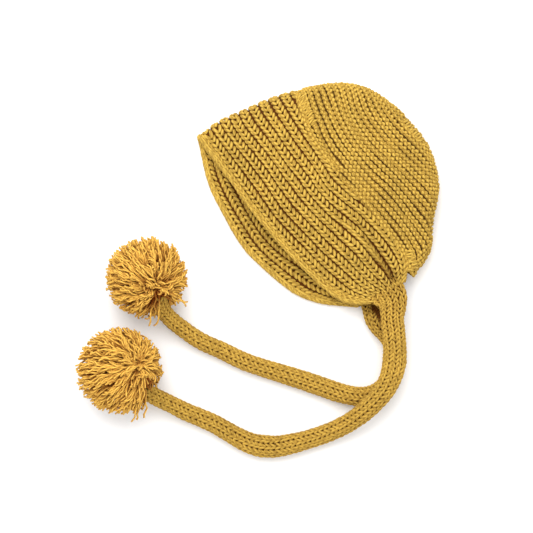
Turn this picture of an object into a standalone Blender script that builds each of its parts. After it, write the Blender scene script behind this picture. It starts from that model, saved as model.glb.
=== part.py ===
"""Knitted bonnet with two ties and two pompoms, lying folded flat on its left-right fold.

The hat rests on its right side. -Y is the face opening, -X the top of the head, +X the
nape and chin, and +Z the left side of the hat, which lies uppermost.
"""

import math

import bpy
import numpy as np

MM = 0.001

# Fabric of the hat
FABRIC = 4.5 * MM  # thickness of the knitting
SEAM_GAP = 1.45 * MM  # half the space that band and crown leave for the seam yarn
SEAM_YARN = 1.0 * MM  # radius
FOLD_SHARE = 0.36  # part of each knitted row that goes into the half of the fold

# Height of the upper layer over the surface the hat lies on
BRIM_LOFT = 14 * MM
NAPE_LOFT = 21 * MM
DOME_LOFT = 27 * MM
DOME_CENTRE = (-2 * MM, 16 * MM)
DOME_REACH = (118 * MM, 98 * MM)

# Ties and pompoms
TIE_RADIUS = 7.6 * MM
TIE_POINTS = 30
TIE_GAP = 4.2 * MM  # from the gathered end of the band to the tie
BINDING_RADIUS = 5.6 * MM
BINDING_YARN = 1.0 * MM
CORE_RADIUS = 4.0 * MM
GROOVE = 3.4 * MM

# Plan of the folded hat: the fold over head and nape, and the free edges
FOLD = [(-105, -59), (-103.8, -38), (-98, -14), (-91, 8), (-81, 31), (-66.5, 56),
        (-49, 75), (-36, 81.5), (-18, 86.2), (2, 88.2), (22, 87.8), (38, 83), (64, 67),
        (82.5, 44.5), (98, 28), (103.2, 13), (105, 5)]
FOLD_AT_SEAM = 4  # the point of FOLD that the seam starts from
LEFT_EDGE = [(-105, -59), (-86, -60.5), (-60, -62), (-28, -65), (5, -65.5), (38, -64.5),
             (66, -61.5), (84, -56.5), (93, -49), (100, -41)]
RIGHT_EDGE = [(-105, -59), (-90, -67), (-70, -77), (-44, -84.2), (-10, -90.6), (22, -87.7),
              (52, -79.8), (72, -69), (86, -58.5), (95, -51)]
SEAM = [(-81, 31), (-70, 25), (-54, 18), (-34, 13), (-8, 11), (20, 11), (50, 12),
        (76, 10), (92, 5), (105, -7)]
SEAM_AT_NAPE = 0.93  # share of the seam's length where the crown ends
RIGHT_SEAM_END = [(95, 2), (104, -24)]  # the right half's last seam points

# Ties: route from the gathered end to the pompom (x, y, height of the middle)
LEFT_TIE = [(121, -33.5, 24), (132, -41.5, 24.4), (146, -52.5, 24.4), (157, -64.5, 24.4),
            (164, -79, 24.4), (167, -97, 23.6), (167, -116, 17.5), (163.5, -135, 10.5),
            (157.5, -152, 7.8), (149.5, -169, 7.8), (139.5, -185.5, 7.8),
            (126, -198, 7.8), (108, -206, 7.8), (88, -213, 7.8), (66, -223.5, 9.5),
            (41, -233.5, 17)]
RIGHT_TIE = [(116, -47.5, 7.8), (131, -47.5, 7.8), (147, -52, 7.8), (159, -63.8, 7.8),
             (163.5, -80, 7.8), (159.2, -96.2, 7.8), (147.5, -107.8, 7.8),
             (128, -119.7, 7.8), (106, -132.5, 7.8), (85, -145.5, 7.8), (66, -156.5, 7.8),
             (45, -165.5, 7.8), (27, -173.5, 8.6), (10, -178, 10.8), (-6, -180.5, 15.5)]
LEFT_POMPOM = dict(centre=(1, -243, 31), radius=38, flat=0.80)
RIGHT_POMPOM = dict(centre=(-43, -172, 28.6), radius=35, flat=0.80)

MUSTARD = (0.55, 0.30, 0.055)
DEEP_MUSTARD = (0.43, 0.21, 0.03)
POMPOM_YELLOW = (0.60, 0.31, 0.05)


def clear_scene():
    for obj in list(bpy.data.objects):
        bpy.data.objects.remove(obj, do_unlink=True)


def material(name, colour, roughness=0.9):
    made = bpy.data.materials.new(name)
    made.use_nodes = True
    shader = made.node_tree.nodes["Principled BSDF"]
    shader.inputs["Base Color"].default_value = (*colour, 1)
    shader.inputs["Roughness"].default_value = roughness
    shader.inputs["Metallic"].default_value = 0
    made.diffuse_color = (*colour, 1)
    return made


class Route:
    """A smooth curve through a few points, read by share of its length."""

    def __init__(self, points, per_span=24):
        p = np.asarray(points, float)
        gap = np.linalg.norm(np.diff(p, axis=0), axis=1)
        known, bend = np.eye(len(p)), np.zeros_like(p)
        for i in range(1, len(p) - 1):
            before, after = gap[i - 1], gap[i]
            known[i, i - 1:i + 2] = before, 2 * (before + after), after
            bend[i] = 6 * ((p[i + 1] - p[i]) / after - (p[i] - p[i - 1]) / before)
        bend = np.linalg.solve(known, bend)
        t = np.linspace(0, 1, per_span, endpoint=False)[:, None]
        u, points = 1 - t, p
        runs = [u * p[i] + t * p[i + 1]
                + ((u**3 - u) * bend[i] + (t**3 - t) * bend[i + 1]) * gap[i] ** 2 / 6
                for i in range(len(gap))]
        self.line = np.vstack(runs + [points[-1:]])
        steps = np.linalg.norm(np.diff(self.line, axis=0), axis=1)
        self.share = np.concatenate([[0], np.cumsum(steps)])
        self.length = self.share[-1]
        self.share /= self.length

    def at(self, share):
        share = np.asarray(share, float)
        return np.stack([np.interp(share, self.share, row) for row in self.line.T], -1)

    def share_of(self, point):
        near = np.linalg.norm(self.line - np.asarray(point, float), axis=1).argmin()
        return self.share[near]

    def beside(self, distance):
        """The plan curve this far to the left of its own direction."""
        along = np.gradient(self.line, axis=0)
        along /= np.linalg.norm(along, axis=1)[:, None]
        left = np.stack([-along[:, 1], along[:, 0]], -1)
        moved = object.__new__(Route)
        moved.line = self.line + distance * left
        moved.share, moved.length = self.share, self.length
        return moved


def plan(points):
    return Route(np.array(points, float) * MM)


def loft(xy):
    """Height of the upper layer's middle over the ground at a plan point."""
    x, y = xy[..., 0], xy[..., 1]
    along = np.clip((x + 108 * MM) / (216 * MM), 0, 1)
    far = (((x - DOME_CENTRE[0]) / DOME_REACH[0]) ** 2
           + ((y - DOME_CENTRE[1]) / DOME_REACH[1]) ** 2)
    return (BRIM_LOFT + (NAPE_LOFT - BRIM_LOFT) * along
            + DOME_LOFT * np.clip(1 - far, 0, None) ** 1.4)


def over_fold(plan_at, length, reach, v):
    """Middle of the fabric along one row: v = 1 on the left side, -1 on the right side.

    plan_at(side, share) gives the plan point at a share of the row from the fold.
    """
    out = []
    for value in v:
        side = 1 if value >= 0 else -1
        turn = min(abs(value) / FOLD_SHARE, 1) * math.pi / 2
        rest = max(abs(value) - FOLD_SHARE, 0) / (1 - FOLD_SHARE)
        gone = reach * (1 - math.cos(turn)) + (length[side] - reach) * rest
        xy = plan_at(side, gone / length[side])
        low = FABRIC / 2
        z = low + (loft(xy) - low) * (1 + side * math.sin(turn)) / 2
        out.append((xy[0], xy[1], float(z)))
    return np.array(out)


class Hat:
    """The middle surfaces of band and crown."""

    def __init__(self):
        self.fold = plan(FOLD)
        self.seam_share = self.fold.share_of(np.array(FOLD[FOLD_AT_SEAM]) * MM)
        self.edge = {1: plan(LEFT_EDGE), -1: plan(RIGHT_EDGE)}
        self.seam = {1: plan(SEAM), -1: plan(SEAM[:-2] + RIGHT_SEAM_END)}
        self.fold_reach = 8 * MM

    def band_plan(self, a, side, b):
        """Coons patch between front edge, seam, fold and root."""
        edge, seam = self.edge[side], self.seam[side]
        top = self.fold.at(a * self.seam_share)
        root = (1 - a) * edge.at(1) + a * seam.at(1)
        corners = ((1 - a) * (1 - b) * edge.at(0) + a * (1 - b) * seam.at(0)
                   + (1 - a) * b * edge.at(1) + a * b * seam.at(1))
        return (1 - a) * edge.at(b) + a * seam.at(b) + (1 - b) * top + b * root - corners

    def rib(self, a, v, stop=0.0):
        """One rib from the left root over the fold to the right root."""
        length = {}
        for side in (1, -1):
            line = np.array([self.band_plan(a, side, b) for b in np.linspace(0, 1, 40)])
            length[side] = np.linalg.norm(np.diff(line, axis=0), axis=1).sum() - stop
        full = {side: length[side] + stop for side in length}

        def at(side, share):
            return self.band_plan(a, side, share * length[side] / full[side])

        return over_fold(at, length, self.fold_reach, v)

    def band_limit(self, v):
        """How far across the band may go before the seam yarn's space."""
        return 1 - SEAM_GAP / (77 * MM + (32 - 77) * MM * max(abs(v) - 0.75, 0) / 0.25)

    def crown_row(self, t, v):
        start = self.seam_share + SEAM_GAP / self.fold.length
        outer = self.fold.at(start + (1 - start) * t)
        first = 10.5 * MM / self.seam[1].length
        share = first + (SEAM_AT_NAPE - first) * t
        inner = self.seam[1].beside(SEAM_GAP).at(share)
        length = np.linalg.norm(outer - inner)
        reach = (8 + 6 * math.sin(math.pi * t) ** 0.7 - 1.5 * t) * MM

        def at(side, gone):
            return outer + (inner - outer) * gone

        return over_fold(at, {1: length, -1: length}, min(reach, length - 1.5 * MM), v)


def mesh_object(name, points, faces, finish, smooth=True):
    mesh = bpy.data.meshes.new(name)
    mesh.from_pydata([tuple(p) for p in points], [], faces)
    mesh.update()
    if smooth:
        mesh.shade_smooth()
    obj = bpy.data.objects.new(name, mesh)
    mesh.materials.append(finish)
    bpy.context.collection.objects.link(obj)
    return obj


def shell(name, middle, thickness, finish):
    """A closed sheet of fabric round a grid of points on its middle surface."""
    rows, cols = middle.shape[:2]
    across = np.gradient(middle, axis=0)
    along = np.gradient(middle, axis=1)
    normal = np.cross(across, along)
    normal /= np.linalg.norm(normal, axis=2)[:, :, None]
    sides = [middle + normal * thickness / 2, middle - normal * thickness / 2]
    points = np.concatenate([side.reshape(-1, 3) for side in sides])
    count = rows * cols

    def index(i, j, side):
        return side * count + i * cols + j

    faces = []
    for i in range(rows - 1):
        for j in range(cols - 1):
            quad = [(i, j), (i + 1, j), (i + 1, j + 1), (i, j + 1)]
            faces.append([index(*q, 0) for q in quad])
            faces.append([index(*q, 1) for q in reversed(quad)])
    rim = ([(i, 0) for i in range(rows)] + [(rows - 1, j) for j in range(1, cols)]
           + [(i, cols - 1) for i in range(rows - 2, -1, -1)]
           + [(0, j) for j in range(cols - 2, 0, -1)])
    for here, there in zip(rim, rim[1:] + rim[:1]):
        faces.append([index(*here, 0), index(*here, 1), index(*there, 1),
                      index(*there, 0)])
    return mesh_object(name, points, faces, finish)


def sections(name, rings, finish):
    """A closed loft through rings of points."""
    count = len(rings[0])
    points = np.vstack(rings)
    faces = []
    for i in range(len(rings) - 1):
        for j in range(count):
            k = (j + 1) % count
            faces.append([i * count + j, i * count + k, (i + 1) * count + k,
                          (i + 1) * count + j])
    faces.append(list(range(count))[::-1])
    faces.append([(len(rings) - 1) * count + j for j in range(count)])
    return mesh_object(name, points, faces, finish)


def tube(name, points, radius, finish, resolution=2, closed=False):
    """A round cord or yarn along a poly line."""
    curve = bpy.data.curves.new(name, "CURVE")
    curve.dimensions = "3D"
    curve.bevel_depth = radius
    curve.bevel_resolution = resolution
    curve.use_fill_caps = not closed
    spline = curve.splines.new("POLY")
    spline.points.add(len(points) - 1)
    for slot, point in zip(spline.points, points):
        slot.co = (*point, 1)
    spline.use_cyclic_u = closed
    obj = bpy.data.objects.new(name, curve)
    curve.materials.append(finish)
    bpy.context.collection.objects.link(obj)
    return obj


def fold_steps(flat, turn):
    """Row positions from left to right, closer together round the fold."""
    half = np.concatenate([np.linspace(1, FOLD_SHARE, flat, endpoint=False),
                           np.linspace(FOLD_SHARE, 0, turn, endpoint=False)])
    return np.concatenate([half, [0], -half[::-1]])


def build_band(hat, finish):
    steps = fold_steps(22, 6)
    grid = [[hat.rib(a * hat.band_limit(v), [v])[0] for v in steps]
            for a in np.linspace(0, 1, 12)]
    return shell("ribbed_band", np.array(grid), FABRIC, finish)


def build_crown(hat, finish):
    steps = fold_steps(9, 6)
    grid = [hat.crown_row(t, steps) for t in np.linspace(0, 1, 34)]
    return shell("crown_panel", np.array(grid), FABRIC, finish)


def build_seam(hat, finish):
    steps = fold_steps(28, 7)
    line = hat.rib(1.0, steps)
    keep = np.abs(steps) < FOLD_SHARE + (1 - FOLD_SHARE) * SEAM_AT_NAPE
    return tube("crown_seam_yarn", line[keep], SEAM_YARN, finish)


def root_line(hat, side):
    """The gathered end of the band, front edge first, and its height."""
    return np.array([hat.rib(a, [side])[0] for a in (0, 0.25, 0.5, 0.75, 1)])


def build_cuff(name, hat, side, tie, finish):
    """The gathered end between the band and the round tie."""
    root = root_line(hat, side)
    wide = root[-1] - root[0]
    start, target = root.mean(axis=0), np.array(tie[0]) * MM
    onward = np.array(tie[1]) * MM - target
    onward[2] = 0
    onward /= np.linalg.norm(onward)
    first = np.array([wide[1], -wide[0], 0])
    first /= np.linalg.norm(first)
    if first @ onward < 0:
        first = -first
    start = start + first * 2 * SEAM_GAP
    target = target - onward * TIE_GAP
    rings = []
    for share in np.linspace(0, 1, 9):
        ease = share * share * (3 - 2 * share)
        pull = np.linalg.norm(target - start)
        middle = ((2 * share**3 - 3 * share**2 + 1) * start
                  + (share**3 - 2 * share**2 + share) * pull * first
                  + (3 * share**2 - 2 * share**3) * target
                  + (share**3 - share**2) * pull * onward)
        facing = (1 - ease) * first + ease * onward
        facing /= np.linalg.norm(facing)
        flat = np.array([-facing[1], facing[0], 0])
        half_wide = ((1 - ease) * np.linalg.norm(wide) / 2 * 0.97 + ease * TIE_RADIUS)
        half_high = (1 - ease) * FABRIC / 2 + ease * TIE_RADIUS
        middle[2] = max(middle[2], half_high + 0.02 * MM)
        ring = []
        for angle in np.linspace(0, 2 * math.pi, 16, endpoint=False):
            c, s = math.cos(angle), math.sin(angle)
            ring.append(middle + flat * half_wide * math.copysign(abs(c) ** 0.8, c)
                        + np.array([0, 0, half_high * math.copysign(abs(s) ** 0.8, s)]))
        rings.append(ring)
    return sections(name, rings, finish)


def build_root_yarn(name, hat, side, tie, finish):
    """Yarn drawn through the last stitches, which holds the ribs together."""
    root = root_line(hat, side)
    wide = root[-1] - root[0]
    out = np.array([wide[1], -wide[0], 0])
    out /= np.linalg.norm(out)
    if out @ (np.array(tie[0]) * MM - root.mean(axis=0)) < 0:
        out = -out
    return tube(name, root + out * SEAM_GAP, SEAM_YARN, finish)


def tie_route(route):
    return Route(np.array(route, float) * MM)


def build_tie(name, route, pivot, finish):
    line = tie_route(route).at(np.linspace(0, 1, TIE_POINTS))
    obj = tube(name, line - pivot.matrix_world.translation, TIE_RADIUS, finish, 3)
    obj.parent = pivot
    return obj


def pivot_at(name, place, parent=None):
    """An empty on a joint's upright axis."""
    empty = bpy.data.objects.new(name, None)
    empty.empty_display_size = 0.01
    bpy.context.collection.objects.link(empty)
    if parent is not None:
        empty.parent = parent
        place = np.array(place) - np.array(parent.matrix_world.translation)
    empty.location = place
    bpy.context.view_layer.update()
    return empty


def pompom_parts(side, spec, tie, pivot, strands, yarn):
    """The strands as one lobed ball with a parting, its binding and its anchor."""
    centre = np.array(spec["centre"]) * MM
    end = tie_route(tie).at(1.0)
    radius = spec["radius"] * MM
    toward = np.array([end[0] - centre[0], end[1] - centre[1], 0])
    toward /= np.linalg.norm(toward)
    axis = np.array([-toward[1], toward[0], 0])
    up = np.array([0, 0, 1.0])
    home = np.array(pivot.matrix_world.translation)

    profile = []
    outer = np.linspace(0, math.pi / 2 - math.asin(GROOVE / 2 / radius), 10)
    for angle in outer[1:]:
        profile.append((radius * math.cos(angle), radius * math.sin(angle)))
    profile.append((GROOVE / 2, CORE_RADIUS))
    profile += [(-along, out) for along, out in reversed(profile)]
    turns = 28
    points, faces = [centre + axis * radius], []
    for along, out in profile:
        for k in range(turns):
            angle = 2 * math.pi * k / turns
            lobe = 1 + (0.018 * math.sin(5 * angle + along / MM * 0.21)
                        if out > 2 * CORE_RADIUS else 0)
            points.append(centre + axis * along + out * lobe
                          * (toward * math.cos(angle)
                             + up * math.sin(angle) * spec["flat"]))
    points.append(centre - axis * radius)
    count = len(profile)
    for i in range(count - 1):
        for k in range(turns):
            n = (k + 1) % turns
            faces.append([1 + i * turns + n, 1 + (i + 1) * turns + n,
                          1 + (i + 1) * turns + k, 1 + i * turns + k])
    last = len(points) - 1
    for k in range(turns):
        n = (k + 1) % turns
        faces.append([0, 1 + n, 1 + k])
        faces.append([last, 1 + (count - 1) * turns + k, 1 + (count - 1) * turns + n])
    ball = mesh_object("pompom_" + side, np.array(points) - home, faces, strands)

    ring = [centre + BINDING_RADIUS * (toward * math.cos(a)
                                       + up * math.sin(a) * spec["flat"])
            for a in np.linspace(0, 2 * math.pi, 20, endpoint=False)]
    binding = tube("pompom_binding_" + side, np.array(ring) - home, BINDING_YARN, yarn,
                   closed=True)
    inner = centre + toward * (BINDING_RADIUS + 2.2 * BINDING_YARN)
    outer_end = end - toward * 1.6 * MM
    anchor = tube("pompom_anchor_" + side,
                  np.linspace(inner, outer_end, 6) - home, BINDING_YARN, yarn)
    for obj in (ball, binding, anchor):
        obj.parent = pivot


def build():
    clear_scene()
    rib = material("band_knit", MUSTARD)
    garter = material("crown_knit", MUSTARD)
    cord = material("tie_knit", MUSTARD)
    strand = material("pompom_strands", POMPOM_YELLOW)
    yarn = material("sewing_yarn", DEEP_MUSTARD)

    hat = Hat()
    build_band(hat, rib)
    build_crown(hat, garter)
    build_seam(hat, yarn)
    for side, sign, tie, pompom in (("left", 1, LEFT_TIE, LEFT_POMPOM),
                                    ("right", -1, RIGHT_TIE, RIGHT_POMPOM)):
        build_cuff("tie_cuff_" + side, hat, sign, tie, rib)
        build_root_yarn("root_yarn_" + side, hat, sign, tie, yarn)
        root = pivot_at("tie_pivot_" + side, np.array(tie[0]) * MM)
        build_tie("tie_" + side, tie, root, cord)
        end = pivot_at("pompom_pivot_" + side, np.array(tie[-1]) * MM, root)
        pompom_parts(side, pompom, tie, end, strand, yarn)


build()
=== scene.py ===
"""Looks of a knitted bonnet with two ties and two pompoms, lying folded flat on its side.

Every stitch is a swept yarn: V columns on band and ties, garter ridges on the crown, and
loose strands in the pompoms. Band and crown follow folded surfaces like those of the
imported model, and the ties follow its routes.
"""

import math

import bpy
import numpy as np
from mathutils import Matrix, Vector


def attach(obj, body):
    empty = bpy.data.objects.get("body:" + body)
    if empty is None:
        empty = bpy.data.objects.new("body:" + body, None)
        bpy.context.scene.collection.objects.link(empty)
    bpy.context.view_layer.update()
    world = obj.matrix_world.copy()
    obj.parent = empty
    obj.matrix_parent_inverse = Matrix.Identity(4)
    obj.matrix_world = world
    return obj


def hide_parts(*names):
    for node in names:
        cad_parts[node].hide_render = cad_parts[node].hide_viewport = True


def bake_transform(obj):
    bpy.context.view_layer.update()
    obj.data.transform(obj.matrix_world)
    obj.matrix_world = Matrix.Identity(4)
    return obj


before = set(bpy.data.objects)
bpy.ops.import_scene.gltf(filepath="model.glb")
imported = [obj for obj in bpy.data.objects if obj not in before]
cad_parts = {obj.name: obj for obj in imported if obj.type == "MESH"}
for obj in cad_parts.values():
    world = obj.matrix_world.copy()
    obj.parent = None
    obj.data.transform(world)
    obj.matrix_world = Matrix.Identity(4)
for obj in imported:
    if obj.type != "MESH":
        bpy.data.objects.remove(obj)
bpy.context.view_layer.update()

MM = 0.001
rng = np.random.default_rng(7)

# ---------------------------------------------------------------- layout
FABRIC = 4.5 * MM  # thickness of the knitted fabric
FOLD_SHARE = 0.36  # part of each knitted row that goes into the half of the fold
BAND_REACH = 8 * MM  # how far the band's fold reaches in from its outline
BRIM_LOFT, NAPE_LOFT = 14 * MM, 21 * MM  # height of the upper layer at its two ends
DOME_LOFT = 27 * MM  # what the dome adds to that height at its middle
DOME_CENTRE = (-2 * MM, 16 * MM)
DOME_REACH = (118 * MM, 98 * MM)

# Outlines and seams in plan, in mm, from the front of the fold towards the nape
FOLD = [(-105.8, -59.3), (-105.3, -38), (-98, -14), (-91, 8), (-81, 31), (-66.5, 56),
        (-49, 75), (-36, 81.5), (-18, 86.2), (2, 88.2), (22, 87.8), (38, 83), (64, 67),
        (82.5, 44.5), (98, 28), (103.2, 13), (105, 5)]
FOLD_AT_SEAM = 4  # the point of FOLD that the seam starts from
LEFT_EDGE = [(-105.8, -59.3), (-86, -60.5), (-60, -62), (-28, -65), (5, -65.5), (38, -64.5),
             (66, -61.5), (84, -56.5), (93, -49), (100, -41)]
RIGHT_EDGE = [(-105.8, -59.3), (-90.4, -68), (-70.4, -78), (-44.4, -85.2),
              (-10, -91.6), (22, -89.4), (52, -83), (72, -71.3), (86, -59), (95, -51)]
SEAM = [(-81, 31), (-70, 25), (-54, 18), (-34, 13), (-8, 11), (20, 11), (50, 12),
        (76, 10), (92, 5), (105, -7)]
SEAM_AT_NAPE = 0.93  # share of the seam's length where the crown ends
SEAM_GAP = 1.45 * MM  # between the seam and the crown's edge
CROWN_START = 10.5 * MM  # where the crown begins along the seam
RIGHT_SEAM_END = [(95, 2), (104, -24)]  # the right half's last seam points

# Ties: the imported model's route from the gathered end to the pompom, in mm (x, y, height
# of the middle)
LEFT_TIE = [(121, -33.5, 24), (132, -41.5, 24.4), (146, -52.5, 24.4), (157, -64.5, 24.4),
            (164, -79, 24.4), (167, -97, 23.6), (167, -116, 17.5), (163.5, -135, 10.5),
            (157.5, -152, 7.8), (149.5, -169, 7.8), (139.5, -185.5, 7.8),
            (126, -198, 7.8), (108, -206, 7.8), (88, -213, 7.8), (66, -223.5, 9.5),
            (41, -233.5, 17)]
RIGHT_TIE = [(116, -47.5, 7.8), (131, -47.5, 7.8), (147, -52, 7.8), (159, -63.8, 7.8),
             (163.5, -80, 7.8), (159.2, -96.2, 7.8), (147.5, -107.8, 7.8),
             (128, -119.7, 7.8), (106, -132.5, 7.8), (85, -145.5, 7.8), (66, -156.5, 7.8),
             (45, -165.5, 7.8), (27, -173.5, 8.6), (10, -178, 10.8), (-6, -180.5, 15.5)]

# The crease beside the nape, each part of it a line in plan: from, to, half width, depth,
# all in mm. Then places where the upper layer swells (+) or sinks (-) by the last number.
NAPE_CREASE = [((34, -1), (68, -9), 3.4, 3.1), ((60, -7.5), (98, -12), 3.8, 6.2)]
SWELLS = [((-50, 24), (8, 9.5), 3.0, -2.6), ((-42, 14), (14, 0), 4.5, 1.8),
          ((28, -14), (66, -22), 6, 3.2), ((60, 3), (100, -4), 5, 1.5),
          ((31, 78), (16, 24), 8, -1.6)]
RIPPLES = [(46 * MM, 3, 0.9), (22 * MM, 5, 0.45)]  # size, seed, height in mm
# Painted shade along the crease and the seam: from, to, half width, depth of the shade, all in
# mm
SHADED_CREASES = [((32, 0), (70, -9.5), 3.0, 1.7), ((70, -9.5), (101, -12), 4.2, 1.7)]
SHADED_SEAM = ((-44, 23), (8, 9.5), 2.6, 1.3)
EDGE_DROOP = ([-60, 0, 60, 90], [5.0, 7.5, 6.0, 0])  # along x, how far the brim hangs
DROOP_REACH = 34 * MM  # how far in from the brim the droop fades out


class Route:
    """A smooth curve through a few points, read by share of its length."""

    def __init__(self, points, per_span=24):
        p = np.asarray(points, float)
        gap = np.linalg.norm(np.diff(p, axis=0), axis=1)
        known, bend = np.eye(len(p)), np.zeros_like(p)
        for i in range(1, len(p) - 1):
            before, after = gap[i - 1], gap[i]
            known[i, i - 1:i + 2] = before, 2 * (before + after), after
            bend[i] = 6 * ((p[i + 1] - p[i]) / after - (p[i] - p[i - 1]) / before)
        bend = np.linalg.solve(known, bend)
        t = np.linspace(0, 1, per_span, endpoint=False)[:, None]
        u = 1 - t
        runs = [u * p[i] + t * p[i + 1]
                + ((u**3 - u) * bend[i] + (t**3 - t) * bend[i + 1]) * gap[i] ** 2 / 6
                for i in range(len(gap))]
        self.line = np.vstack(runs + [p[-1:]])
        steps = np.linalg.norm(np.diff(self.line, axis=0), axis=1)
        self.share = np.concatenate([[0], np.cumsum(steps)])
        self.length = self.share[-1]
        self.share /= self.length

    def at(self, share):
        share = np.asarray(share, float)
        return np.stack([np.interp(share, self.share, row) for row in self.line.T], -1)

    def share_of(self, point):
        near = np.linalg.norm(self.line - np.asarray(point, float), axis=1).argmin()
        return self.share[near]

    def beside(self, distance):
        along = np.gradient(self.line, axis=0)
        along /= np.linalg.norm(along, axis=1)[:, None]
        moved = object.__new__(Route)
        moved.line = self.line + distance * np.stack([-along[:, 1], along[:, 0]], -1)
        moved.share, moved.length = self.share, self.length
        return moved


def plan(points):
    """A route through points given in mm."""
    return Route(np.array(points, float) * MM)


def smooth(x):
    x = np.clip(x, 0, 1)
    return x * x * (3 - 2 * x)


def unit(v):
    return v / np.maximum(np.linalg.norm(v, axis=-1, keepdims=True), 1e-12)


def waves(xy, size, seed):
    """Smooth deterministic noise over a plan, about -1 to 1."""
    pick = np.random.default_rng(seed)
    total = 0
    for _ in range(6):
        turn, phase = pick.uniform(0, 2 * math.pi, 2)
        scale = size * pick.uniform(0.7, 1.6)
        total = total + np.sin((xy[..., 0] * math.cos(turn) + xy[..., 1] * math.sin(turn))
                               * 2 * math.pi / scale + phase)
    return total / 3


def near_line(xy, start, end, width):
    """1 on a plan segment, falling to 0 over the width beside it and past its ends."""
    start, end = np.array(start) * MM, np.array(end) * MM
    along = end - start
    share = np.clip(((xy - start) @ along) / (along @ along), 0, 1)
    off = np.linalg.norm(xy - start - share[..., None] * along, axis=-1)
    fade = smooth(share / 0.3) * smooth((1 - share) / 0.15 + 0.35)
    return np.exp(-(off / (width * MM)) ** 2) * fade


def heights_near(xy, lines):
    """The height in mm that each line gives at these plan points."""
    return [high * near_line(xy, start, end, width) for start, end, width, high in lines]


fold_route = plan(FOLD)
edges = {1: plan(LEFT_EDGE), -1: plan(RIGHT_EDGE)}


def upper_layer(point):
    """0 on the lower layer and 1 on the upper one."""
    return smooth((point[..., 2] / MM - 8) / 4)


def painted_crease_shade(point):
    """Extra depth that paints shade into the creases and along the seam, on the upper layer
    only.
    """
    xy = point[..., :2]
    crease = np.maximum(*heights_near(xy, SHADED_CREASES))
    seam, = heights_near(xy, [SHADED_SEAM])
    return -MM * upper_layer(point) * (crease + seam)


def relief(xy):
    """How far the upper layer stands over or under its smooth loft."""
    edge_y = np.interp(xy[..., 0], edges[1].line[:, 0], edges[1].line[:, 1])
    inside = np.clip((xy[..., 1] - edge_y) / DROOP_REACH, 0, 1)
    droop = (1 - smooth(inside)) * np.interp(xy[..., 0] / MM, *EDGE_DROOP)
    crease = np.maximum(*heights_near(xy, NAPE_CREASE))
    ripple = sum(high * waves(xy, size, seed) for size, seed, high in RIPPLES)
    return MM * (sum(heights_near(xy, SWELLS)) - droop - crease + ripple)


def loft(xy):
    """Height of the upper layer over the surface, before its relief."""
    x, y = xy[..., 0], xy[..., 1]
    along = np.clip((x + 108 * MM) / (216 * MM), 0, 1)
    far = (((x - DOME_CENTRE[0]) / DOME_REACH[0]) ** 2
           + ((y - DOME_CENTRE[1]) / DOME_REACH[1]) ** 2)
    return (BRIM_LOFT + (NAPE_LOFT - BRIM_LOFT) * along
            + DOME_LOFT * np.clip(1 - far, 0, None) ** 1.4)


def lifted(xy, side, turn):
    """Plan points of one half raised to their height round the fold."""
    low = FABRIC / 2
    top = loft(xy) + (relief(xy) * np.sin(turn) ** 4 if side > 0 else 0)
    z = low + (top - low) * (1 + side * np.sin(turn)) / 2
    return np.concatenate([xy, z[..., None]], -1)


seam_share = fold_route.share_of(np.array(FOLD[FOLD_AT_SEAM]) * MM)
seams = {1: plan(SEAM), -1: plan(SEAM[:-2] + RIGHT_SEAM_END)}


def band_plan(a, side, b):
    """Plan point at share a from edge to seam and share b from fold to root."""
    edge, seam = edges[side], seams[side]
    top = fold_route.at(a * seam_share)
    a, b_ = a[..., None], b[..., None]
    root = (1 - a) * edge.at(1) + a * seam.at(1)
    corners = ((1 - a) * (1 - b_) * edge.at(0) + a * (1 - b_) * seam.at(0)
               + (1 - a) * b_ * edge.at(1) + a * b_ * seam.at(1))
    return (1 - a) * edge.at(b) + a * seam.at(b) + (1 - b_) * top + b_ * root - corners


def gone_share(v, reach, length):
    """Turn round the fold, and share of the row's plan length, at share v of a row."""
    turn = np.minimum(v / FOLD_SHARE, 1) * math.pi / 2
    rest = np.maximum(v - FOLD_SHARE, 0) / (1 - FOLD_SHARE)
    return turn, (reach * (1 - np.cos(turn)) + (length - reach) * rest) / length


def band_half(a, side, v):
    b = np.linspace(0, 1, 60)[None]
    line = band_plan(a[:, None] + 0 * b, side, b + 0 * a[:, None])
    length = np.linalg.norm(np.diff(line, axis=1), axis=2).sum(1)[:, None]
    turn, share = gone_share(v[None], BAND_REACH, length)
    return lifted(band_plan(a[:, None] + 0 * share, side, share), side, turn + 0 * share)


def crown_ends(t):
    """The crown rows' two ends in plan, at the fold and beside the seam."""
    start = seam_share + SEAM_GAP / fold_route.length
    first = CROWN_START / seams[1].length
    outer = fold_route.at(start + (1 - start) * t)
    inner = seams[1].beside(SEAM_GAP).at(first + (SEAM_AT_NAPE - first) * t)
    return outer, inner


def crown_reach(t, length):
    """How far the fold reaches in from the outline: most at the crown's middle."""
    return np.minimum((8 + 6 * np.sin(math.pi * t) ** 0.7 - 1.5 * t) * MM,
                      length - 1.5 * MM)


def crown_half(t, side, v):
    outer, inner = crown_ends(t)
    length = np.linalg.norm(outer - inner, axis=1)[:, None]
    turn, share = gone_share(v[None], crown_reach(t[:, None], length), length)
    xy = outer[:, None] + (inner - outer)[:, None] * share[..., None]
    return lifted(xy, side, turn + 0 * share)


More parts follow.
